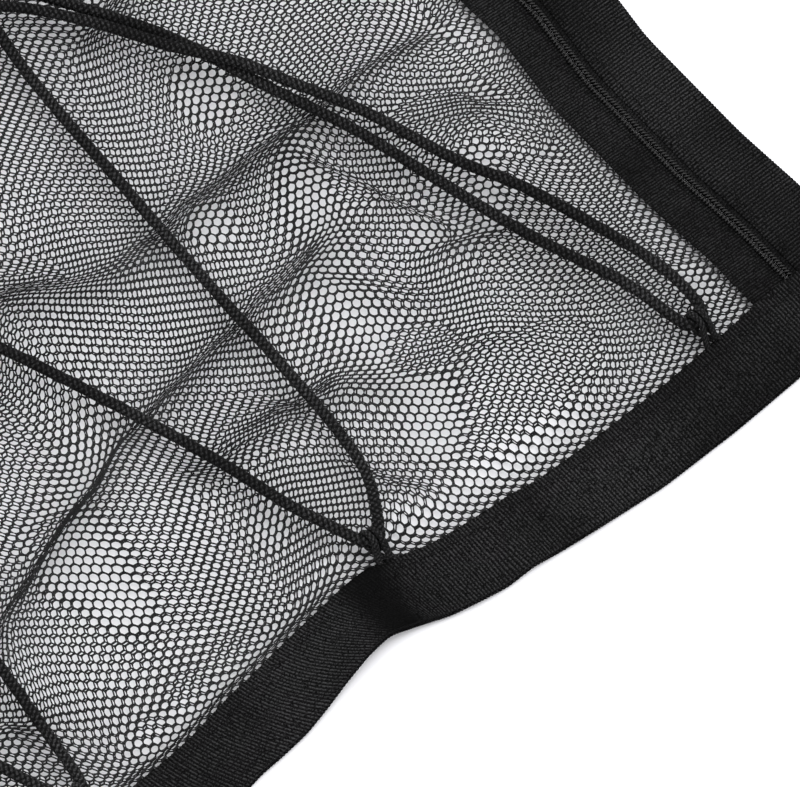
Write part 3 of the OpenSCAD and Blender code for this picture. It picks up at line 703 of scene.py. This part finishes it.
def crowded(x, y):
    """How far cloth is pushed outwards against the long edges."""
    side = np.sign(y)
    depth = np.maximum(BAND_EDGE_Y - 2 - np.abs(y), 0)
    push = np.interp(-side * x, CROWD_PLACES, CROWD)
    bend = (1 + (depth / CROWD_DEPTH) ** 2) ** 0.5
    return side * push * depth / bend / CROWD_DEPTH * np.exp(-((depth / CROWD_REACH) ** 2))


def drawn_in(x, y):
    """How flat cloth moves in plan, by its folds and slow sideways waves, and the folds' height."""
    dx, dy, fold = gathered(x, y)
    dx += SWAY * waves(x, y, seed=11, size=210)
    dy += SWAY * waves(x, y, seed=12, size=190)
    return dx, dy, fold


def distance_to(x, y, line):
    """Plan distance of each point from a line of points, from a coarse table of places."""
    cell, half_x, half_y = 4.0, HALF_L + 10, HALF_W + 10
    nx, ny = int(2 * half_x / cell), int(2 * half_y / cell)
    gx, gy = np.meshgrid((np.arange(nx) + 0.5) * cell - half_x,
                         (np.arange(ny) + 0.5) * cell - half_y, indexing="ij")
    near = np.full(gx.shape, 1e9)
    for px, py in line[:, :2]:
        near = np.minimum(near, (gx - px) ** 2 + (gy - py) ** 2)
    near = np.sqrt(near)
    fx = np.clip((x + half_x) / cell - 0.5, 0, nx - 1.001)
    fy = np.clip((y + half_y) / cell - 0.5, 0, ny - 1.001)
    i, j = fx.astype(int), fy.astype(int)
    a, b = fx - i, fy - j
    return ((near[i, j] * (1 - a) + near[i + 1, j] * a) * (1 - b)
            + (near[i, j + 1] * (1 - a) + near[i + 1, j + 1] * a) * b)


cord_lines = np.concatenate(
    [smooth_path(whole_route(half), 2.0) for half in (LOCKED_HALF, KNOTTED_HALF)])


def net_border(x, y, reach_x, width):
    """From 0 where a layer is sewn down at its edges to 1 inside."""
    return (smooth_step((reach_x - np.abs(x)) / width)
            * smooth_step((BAND_EDGE_Y - 2 - np.abs(y)) / width))


def front_layer(p):
    """Flat places on the front layer to where they lie, with z as the height above the cloth.
    Each gets a fourth number: how far the yarn stands out there."""
    x, y, rise = p.T
    reach = TAPE_EDGE_X - 2
    border, held = net_border(x, y, reach, 26), net_border(x, y, reach, 14)
    free = smooth_step((distance_to(x, y, cord_lines) - CORD_HOLD) / CORD_HOLD_FADE)
    dx, dy, fold = drawn_in(x, y)
    puff = 1.1 * waves(x, y, seed=3, size=75) + fold
    height = FRONT_SEWN_Z + border * (FRONT_RISE + 0.5 * waves(x, y, seed=4, size=70) + free * puff)
    place = np.stack([x + held * dx, y + held * dy + crowded(x, y), height + rise], -1)
    return np.concatenate([settle(place), rise[:, None] / YARN_RISE], -1)


def back_layer(p):
    """The back layer lies flatter, gathered into the same folds. Where the two layers keep in
    step its holes lie behind the front layer's as the camera sees them."""
    x, y, rise = p.T
    border, held = net_border(x, y, BACK_REACH_X, 22), net_border(x, y, BACK_REACH_X, 14)
    dx, dy, fold = drawn_in(x, y)
    height = BACK_SEWN_Z + border * (0.35 * (1 + waves(x, y, seed=5, size=55)) + 0.3 * fold)
    over = front_layer(p)[:, 2]
    gap = np.where(np.abs(x) < TAPE_EDGE_X, over - height - rise, 0) * net_border(x, y, 360, 8)
    lean = VIEW_SLOPE * gap[:, None] * np.array(VIEW_WAY)
    out = near_spots(x, y, OUT_OF_STEP)
    loose = 0.88 * (1 - near_spots(x, y, IN_STEP)) * net_border(x, y, BACK_REACH_X, 7)
    apart = (0.12 + loose) * (LAYER_DRIFT * (1 - out))
    dx = dx + lean[:, 0] + apart * waves(x, y, seed=21, size=170) + out * HALF_HOLE[0]
    dy = dy + lean[:, 1] + apart * waves(x, y, seed=22, size=190) + out * HALF_HOLE[1]
    place = np.stack([x + held * dx, y + held * dy + crowded(x, y), height + rise], -1)
    return np.concatenate([settle(place), rise[:, None] / YARN_RISE], -1)


def net_tile(columns, corners, layer):
    """Cells of a hexagonal net in these columns: ridges of yarn round holes with 12 or 6
    corners. The yarn keeps its width, so the holes close where the cloth is gathered."""
    rows = int(NET_HALF_Y / HOLE_PITCH)
    i, j = np.meshgrid(columns, np.arange(-rows, rows), indexing="ij")
    i, j = i.ravel(), j.ravel()
    to_corner, to_side = HOLE_PITCH / math.sqrt(3), HOLE_PITCH / 2
    step = np.array([to_side / math.sqrt(3), to_side])
    middle = np.stack([3 * i, 2 * j + i % 2], -1)
    around = np.array([[2, 0], [1, 1], [-1, 1], [-2, 0], [-1, -1], [1, -1]])
    unique, outer = np.unique((middle[:, None] + around).reshape(-1, 2), axis=0,
                              return_inverse=True)
    outer = outer.reshape(-1, 6)
    # Ridge points get rise 1 and the hole rims 0: the material paints a highlight on the ridges.
    ridge = layer(np.concatenate([unique * step, np.full((len(unique), 1), YARN_RISE)], 1))
    centre = layer(np.concatenate([middle * step, np.zeros((len(i), 1))], 1))
    bound = ridge[outer]
    k = np.arange(6)
    nxt = (k + 1) % 6
    angle = np.arange(corners) * 2 * np.pi / corners
    hole = 1 / np.hypot(np.cos(angle) / HOLE_LONG, np.sin(angle) / HOLE_SHORT)
    # The holes' corners lie a little outside their oval, so that it keeps its area
    if corners == 12:
        bound = np.stack([bound, (bound + bound[:, nxt]) / 2], 2).reshape(-1, 12, 4)
        yarn = np.tile([to_corner, to_side], 6) - 1.02 * hole
    else:
        yarn = to_corner - 1.1 * hole
    gap = centre[:, None, :3] - bound[..., :3]
    share = np.minimum(0.96, yarn / np.linalg.norm(gap[..., :2], axis=-1))
    rim = bound[..., :3] + gap * share[..., None]
    rim[..., 2] -= YARN_RISE * (1 - share)
    rim = np.concatenate([rim, np.zeros((*share.shape, 1))], -1).reshape(-1, 4)
    inner = len(unique) + np.arange(len(i) * corners).reshape(-1, corners)
    start, end = outer[:, k], outer[:, nxt]
    if corners == 12:
        first, mid, last = inner[:, 2 * k], inner[:, 2 * k + 1], inner[:, (2 * k + 2) % 12]
        faces = [(start, end, mid), (start, mid, first), (end, last, mid)]
    else:
        faces = [(start, end, inner[:, nxt], inner[:, k])]
    faces = np.concatenate([np.stack(f, -1).reshape(-1, len(f)) for f in faces])
    return np.concatenate([ridge, rim]), [faces]


def make_net(name, half_x, corners, layer, node):
    """A layer, in tiles side by side."""
    last = int(half_x / COLUMN_STEP)
    for n, columns in enumerate(np.array_split(np.arange(-last, last + 1), NET_TILES)):
        made = part(f"{name}_{n}", net_tile(columns, corners, layer), mesh_yarn,
                    replaces=[node])


# ---------- Webbing, hems and tapes ----------

BACK_Z, HEM_Z = 0.6, 2.15  # the middle of the webbing at the back, and of the hem on it
SIDE_FRONT_Z = 4.2
FRONT_LOW_Z, FRONT_HIGH_Z = TAPE_Z + 0.6, COIL_Z + COIL_H + 0.7  # on the net, and over the zips
STITCH_PITCH, STITCH_L, STITCH_R = 3.0, 2.1, 0.17
STITCH_LIFT = 0.68  # from the webbing's middle to the stitches on it
HEM_T = 1.9
SIDE_BACK_W, SIDE_HEM_W = 20, 14


def eased(path, reach):
    """A path with its corners rounded by a moving average over that many of its points."""
    padded = np.concatenate([path[:1]] * reach + [path] + [path[-1:]] * reach)
    total = np.cumsum(np.concatenate([np.zeros((1, 3)), padded]), axis=0)
    return (total[2 * reach + 1:] - total[:-2 * reach - 1]) / (2 * reach + 1)


def strip(line, across, width, thick, columns=7, under=4, rib=1.2, relief=0.2, slant=0.0,
          curved=False, closed=False, plain=None, seed=1):
    """Ribbed cloth along a line that runs midway between its faces, with this many columns
    of points on its upper face and under on its lower. rib is the pitch of its ribs, which
    run across it, or 0. relief may be a function of the place across, from 0 to 1, and
    plain(x, place) says from 0 to 1 where the ribs are pressed flat."""
    step = rib / 4 if rib else 4.0
    if curved:
        path = smooth_path(line, step, closed)
    else:
        path = eased(resample(np.asarray(line, float), step), max(1, int(3 / step)))
    if closed:
        path = path[:-1]
        t = np.roll(path, -1, 0) - np.roll(path, 1, 0)
    else:
        t = np.gradient(path, axis=0)
    t /= np.linalg.norm(t, axis=1)[:, None]
    across = np.asarray(across, float)
    up = np.cross(t, across)
    rng = np.random.default_rng(seed)
    along = np.arange(len(path)) * step
    rings = []
    for count, sign in ((columns, 1), (under, -1)):
        place = np.linspace(0, 1, count)[::sign]
        depth = relief(place) if callable(relief) else np.full(count, relief)
        show = 1 - plain(path[:, :1], place) if plain else 1.0
        phase = slant * place + 0.08 * np.interp(place, np.linspace(0, 1, 9), rng.normal(0, 1, 9))
        ribs = 0.5 + 0.5 * np.cos(2 * np.pi * (along[:, None] / rib + phase)) if rib else 0.5
        ribs = np.broadcast_to(ribs, (len(path), count))
        edge = np.where((place == 0) | (place == 1), 0.5, 1.0)
        height = sign * (thick / 2 * edge - depth * (1 - ribs) * edge * show)
        spread = (place - 0.5) * width * (1 + np.where(edge < 1, 0.35 / width * (ribs - 1), 0))
        points = path[:, None] + spread[..., None] * across + height[..., None] * up[:, None]
        # The fourth value, high on the ribs' crests, carries the painted crest highlight.
        rings.append(np.concatenate([points, (ribs**2 * show)[..., None]], -1))
    ring = np.concatenate(rings, 1)
    return ring.reshape(-1, 4), ring_faces(len(path), columns + under, closed)


def stitches(line):
    """A row of sewn stitches that lie sunk in the surface under the line."""
    ends = resample(np.asarray(line, float), STITCH_PITCH)
    path = (ends[1:] + ends[:-1]) / 2
    t = np.gradient(path, axis=0)
    t /= np.linalg.norm(t, axis=1)[:, None]
    side = np.cross(t, (0, 0, 1))
    up = np.cross(side, t)
    along = np.array([-0.5, -0.32, 0.0, 0.32, 0.5]) * STITCH_L
    fat = np.array([0.25, 0.85, 1.0, 0.85, 0.25]) * STITCH_R
    dip = np.array([-1.2, -0.5, -0.3, -0.5, -1.2]) * STITCH_R
    around = 6
    angle = np.arange(around) * np.pi / 3
    ring = (path[:, None, None] + along[None, :, None, None] * t[:, None, None]
            + fat[None, :, None, None] * np.cos(angle)[None, None, :, None] * side[:, None, None]
            + (fat[:, None] * np.sin(angle) + dip[:, None])[None, :, :, None] * up[:, None, None])
    count = len(along) * around
    faces = [np.concatenate([f + k * count for k in range(len(path))])
             for f in ring_faces(len(along), around)]
    return ring.reshape(-1, 3), faces


def edge_line(y, low, high):
    """Along the near edge: flat between the zips, and raised over their ends."""
    flat, raised = TAPE_EDGE_X - 10, TAPE_EDGE_X - 1
    return [[-HALF_L, y, high], [-raised - 4, y, high], [-raised, y, high], [-flat, y, low],
            [0, y, low], [flat, y, low], [raised, y, high], [raised + 4, y, high],
            [HALF_L, y, high]]


def along_x(y, z, reach=HALF_L):
    """A straight line along an edge."""
    return [[-reach, y, z], [0, y, z], [reach, y, z]]


def along_y(x, z, reach=BAND_EDGE_Y):
    """A straight line along a side."""
    return [[x, -reach, z], [x, 0, z], [x, reach, z]]


def ticks(place):
    """The ribs stand out most next to the net."""
    return 0.2 + 0.12 * np.exp(-(((place - 0.93) / 0.12) ** 2))


def pressed(x, place):
    """The front webbing is flat and smooth at the kink beside its second anchor."""
    return 0.93 * np.exp(-(((x - 207 + 12 * (1 - place) ** 1.4) / 11) ** 4))


def bind(name, side, front, back, hem, seams):
    """The webbing, hem and stitches of one edge or side."""
    soft_part(f"{name}_front_webbing", front, side, webbing_cloth,
              [f"{name}_front_band"])
    soft_part(f"{name}_back_webbing", back, side, webbing_cloth,
              [f"{name}_back_band"])
    soft_part(f"{name}_hem", hem, side, webbing_cloth)
    soft_part(f"{name}_seams", join([stitches(row) for row in seams]), side, thread)


def make_bands():
    across = (0, 1, 0)
    front = strip(edge_line(-STRAP_Y, FRONT_LOW_Z, FRONT_HIGH_Z), across, BAND_W, BAND_T,
                  columns=12, under=3, relief=ticks, plain=pressed)
    back = strip(along_x(-STRAP_Y, BACK_Z), across, BAND_W, BAND_T, columns=3, under=7)
    hem = strip(along_x(-STRAP_Y, HEM_Z, HALF_L - 1), across, BAND_W - 1, HEM_T,
                columns=2, under=2, rib=0, relief=0.0)
    seams = [edge_line(-y, FRONT_LOW_Z + STITCH_LIFT, FRONT_HIGH_Z + STITCH_LIFT)
             for y in (BAND_EDGE_Y + 4.5, HALF_W - 3)]
    for name, side in EDGES.items():
        bind(name, side, front, back, hem, seams)
    across = (-1, 0, 0)
    front = strip(along_y((SIDE_BAND_EDGE_X + HALF_L) / 2, SIDE_FRONT_Z, HALF_W - 0.5), across,
                  HALF_L - SIDE_BAND_EDGE_X, BAND_T, columns=8, under=3)
    back = strip(along_y(HALF_L - 10, BACK_Z), across, SIDE_BACK_W, BAND_T, columns=3, under=6)
    hem = strip(along_y(HALF_L - 7.5, HEM_Z), across, SIDE_HEM_W, HEM_T,
                columns=2, under=2, rib=0, relief=0.0)
    seams = [[[x, -BAND_EDGE_Y, SIDE_FRONT_Z + STITCH_LIFT],
              [x, BAND_EDGE_Y, SIDE_FRONT_Z + STITCH_LIFT]]
             for x in (SIDE_BAND_EDGE_X + 3, HALF_L - 3)]
    for name, side in SIDES.items():
        bind(name, side, front, back, hem, seams)


# ---------- Zips ----------

TAPE_GAP = 0.55  # from the chain's middle to each tape
TAPE_W = 14.5 - TAPE_GAP
TAPE_UNDER, COIL_UNDER = 13, 6  # how far they run on under the webbing
COIL_PITCH, COIL_WIRE_R, COIL_STEPS = 1.2, 0.28, 8
COIL_HALF_W, COIL_HALF_H = 0.74, 0.4
COIL_OFFSET = 0.92  # from the chain's middle to each coil's


def coil(x, start, phase):
    """One half of a zip chain: a flattened nylon coil that leans along the tape."""
    turns = int((COIL_TOP_Y - start) / COIL_PITCH)
    a = np.arange(turns * COIL_STEPS + 1) * 2 * np.pi / COIL_STEPS
    y = start + a / (2 * np.pi) * COIL_PITCH + phase
    path = np.stack([x + COIL_HALF_W * np.cos(a), y + 0.6 * phase * np.cos(a),
                     COIL_Z + COIL_H / 2 + COIL_HALF_H * np.sin(a)], -1)
    return tube(path, COIL_WIRE_R, 6)


def make_zips():
    middle, seam_z = TAPE_Z + TAPE_T / 2, COIL_Z + 0.05
    for name, side in SIDES.items():
        for kind, edge_x, lean in (("inner", TAPE_EDGE_X, 1), ("outer", CHAIN_X + TAPE_GAP, -1)):
            line = along_y(edge_x + TAPE_W / 2, middle, BAND_EDGE_Y + TAPE_UNDER)
            cloth = strip(line, (-1, 0, 0), TAPE_W, TAPE_T, columns=9, under=2, rib=1.0,
                          relief=0.09, slant=7.0 * lean)
            soft_part(f"{name}_{kind}_zip_cloth", cloth, side, tape_cloth,
                      [f"{name}_zip_{kind}_tape"])
            half = coil(CHAIN_X - lean * COIL_OFFSET, -BAND_EDGE_Y - COIL_UNDER, 0.3 * lean)
            soft_part(f"{name}_{kind}_chain", half, side, coil_nylon,
                      [f"{name}_zip_{kind}_coil"])
        rows = [stitches([[x, -BAND_EDGE_Y, seam_z], [x, BAND_EDGE_Y, seam_z]])
                for x in (TAPE_EDGE_X + 2.2, CHAIN_X - 2.9)]
        soft_part(f"{name}_zip_seams", join(rows), side, thread)


# ---------- Corner straps ----------

BAR_Z = 4.5
WRAP_R = 2.5  # from a buckle's bar to the middle of the webbing round it
TAB_BAR_X, PLUG_BAR_X = 441.0, 490.0
STRAP_W = 25
LOOP_LOW_Z, LOOP_TOP_Z = 0.7, 8.4  # the middle of a handle loop's lower and upper run
SEAM_X, SEAM_Y, SEAM_Z = (505, 513.5, 522), 9, LOOP_TOP_Z + 0.66  # a box with a bar across


def wrap(x, first, last):
    """Webbing round the buckle's bar at x, between these angles."""
    a = np.radians(np.linspace(first, last, 6))
    return [[x + WRAP_R * math.cos(k), 0, BAR_Z + WRAP_R * math.sin(k)] for k in a]


def make_straps():
    tab = [[370, 0, 2.4], [386, 0, 2.4], [402.5, 0, 2.4], [408, 0, 3.4], [413.5, 0, 5.1],
           [428, 0, 6.5], *wrap(TAB_BAR_X, 90, -90), [428, 0, 2.6], [417, 0, 3.9]]
    run = (502, 507, 550, 595, 600)
    loop = [*wrap(PLUG_BAR_X, 90, 270), [496, 0, 1.4], *[[x, 0, LOOP_LOW_Z] for x in run],
            [608, 0, 1.6], [611.4, 0, 4.5], [608, 0, 7.4],
            *[[x, 0, LOOP_TOP_Z] for x in run[::-1]], [496, 0, 7.6]]
    rows = [[[SEAM_X[0], y, SEAM_Z], [SEAM_X[-1], y, SEAM_Z]] for y in (-SEAM_Y, SEAM_Y)]
    rows += [[[x, -SEAM_Y, SEAM_Z], [x, SEAM_Y, SEAM_Z]] for x in SEAM_X]
    seams = join([stitches(row) for row in rows])
    for corner, (side, edge) in CORNERS.items():
        place = np.array([0, edge * side * STRAP_Y, 0])
        for kind, line, body, closed in (("tab", tab, "net", False),
                                         ("handle_loop", loop, corner + "_release", True)):
            cloth = strip(line, (0, 1, 0), STRAP_W, BAND_T, columns=7, under=6, curved=True,
                          closed=closed, seed=4)
            part(f"{corner}_{kind}_webbing", turn_piece(moved(cloth, place), side),
                 webbing_cloth, body, [f"{corner}_{kind}"])
        part(f"{corner}_loop_seams", turn_piece(moved(seams, place), side),
             thread, corner + "_release")


# ---------- Moulded and metal parts ----------

BEVEL_STEPS, BEVEL_ANGLE = 3, math.radians(40)
SPRING_X, SPRING_L, SPRING_R, WIRE_R = LOCK[0] - 13.7, 6.1, 2.85, 0.33
SPRING_END = 0.35  # from the end of its room to the middle of its last turn
SPRING_TURNS, TURN_STEPS = 5, 16


def dress(node, material, width):
    """A CAD node's own shape, with its edges rounded off and its material."""
    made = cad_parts[node]
    made.data.materials.clear()
    made.data.materials.append(material)
    round_off = made.modifiers.new("round_off", "BEVEL")
    round_off.width = width * MM
    round_off.segments = BEVEL_STEPS
    round_off.limit_method = "ANGLE"
    round_off.angle_limit = BEVEL_ANGLE


def spring():
    """A coil spring along X, wound flat at its ends."""
    a = np.linspace(0, 2 * np.pi * SPRING_TURNS, SPRING_TURNS * TURN_STEPS + 1)
    wound = np.clip((a / (2 * np.pi) - 0.5) / (SPRING_TURNS - 1), 0, 1)
    x = SPRING_X + SPRING_END + (SPRING_L - 2 * SPRING_END) * wound
    path = np.stack([x, LOCK[1] + SPRING_R * np.cos(a), LOCK[2] + SPRING_R * np.sin(a)], -1)
    return tube(path, WIRE_R, 8)


def make_hardware():
    for corner in CORNERS:
        dress(corner + "_socket", moulded, 0.5)
        dress(corner + "_plug", moulded, 0.45)
    for name, side in SIDES.items():
        dress(name + "_lock_barrel", moulded, 0.4)
        dress(name + "_lock_button", moulded, 0.35)
        for kind in ("stops", "slider", "pull"):
            dress(f"{name}_zip_{kind}", lacquer, 0.2)
        wire = part(f"{name}_spring", turn_piece(spring(), side), spring_wire,
                    name + "_lock", [name + "_lock_spring"])
        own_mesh(wire)


make_camera()
make_studio()
make_lacing()
make_anchor_loops()
make_net("front_net", FRONT_HALF_X, 12, front_layer, "front_mesh")
make_net("back_net", BACK_HALF_X, 6, back_layer, "back_mesh")
make_bands()
make_zips()
make_straps()
make_hardware()
